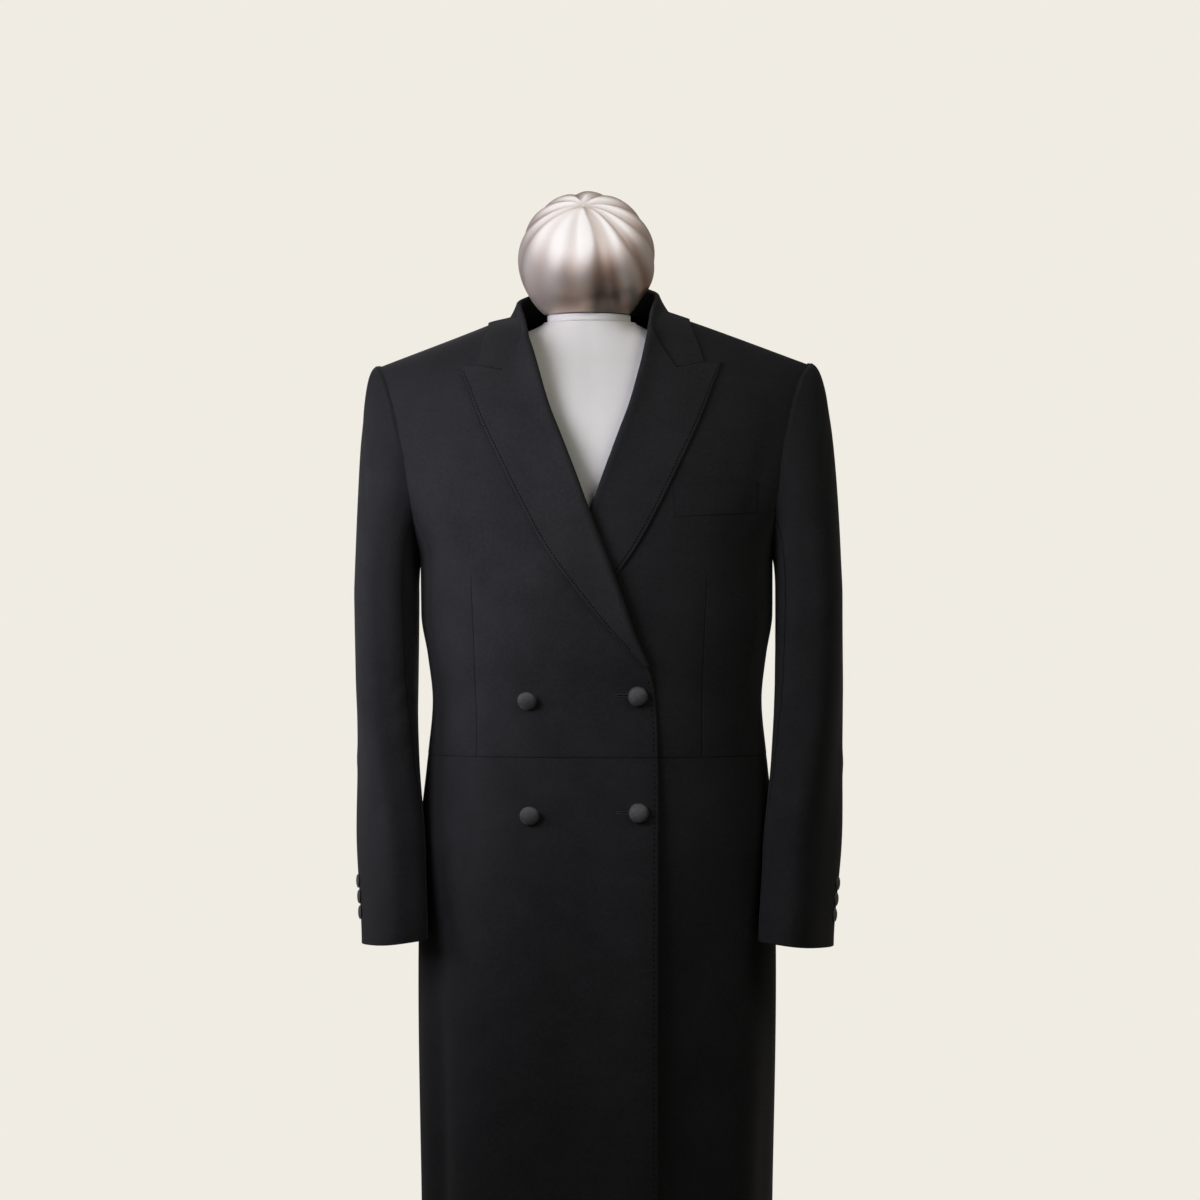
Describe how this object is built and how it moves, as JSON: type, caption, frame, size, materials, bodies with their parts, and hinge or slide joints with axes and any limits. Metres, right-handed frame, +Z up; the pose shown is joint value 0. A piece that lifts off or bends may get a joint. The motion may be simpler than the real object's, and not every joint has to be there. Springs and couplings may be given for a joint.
{
  "type": "kapote coat on a dress form stand",
  "caption": "Long double-breasted frock coat with peaked lapels, waist seam and covered buttons, worn buttoned on a limbless dress form with a ball neck cap, pole and round base.",
  "frame": {"origin": "middle of the base's underside, on the pole's axis, on the floor", "axes": "+Z up, -Y to the front of the coat, -X to the wearer's right"},
  "size_m": [0.5255, 0.38, 1.6595],
  "materials": {
    "wool": "fine plain wool, matt with a faint nap",
    "facing": "the same wool on the lapels and collar, pressed smoother",
    "button_cloth": "tight cloth drawn over a domed button",
    "satin": "silver champagne satin, glossy, gathered to the crown",
    "jersey": "pale stretched jersey, matt",
    "steel": "satin brushed"
  },
  "bodies": {
    "root": {"forepart_right": "wool", "forepart_left": "wool", "side_body_right": "wool", "side_body_left": "wool", "back_right": "wool", "back_left": "wool", "skirt_right": "wool", "skirt_left": "wool", "top_sleeve_right": "wool", "top_sleeve_left": "wool", "under_sleeve_right": "wool", "under_sleeve_left": "wool", "breast_welt": "wool", "lapel_right": "facing", "lapel_left": "facing", "collar": "facing", "button_front_upper_fastened": "button_cloth", "button_front_lower_fastened": "button_cloth", "button_front_upper_showing": "button_cloth", "button_front_lower_showing": "button_cloth", "button_cuff_right_upper": "button_cloth", "button_cuff_right_middle": "button_cloth", "button_cuff_right_lower": "button_cloth", "button_cuff_left_upper": "button_cloth", "button_cuff_left_middle": "button_cloth", "button_cuff_left_lower": "button_cloth", "form_torso": "jersey", "form_neck": "jersey", "form_cap": "satin", "stand_base": "steel", "stand_pole": "steel"}
  },
  "joints": []
}
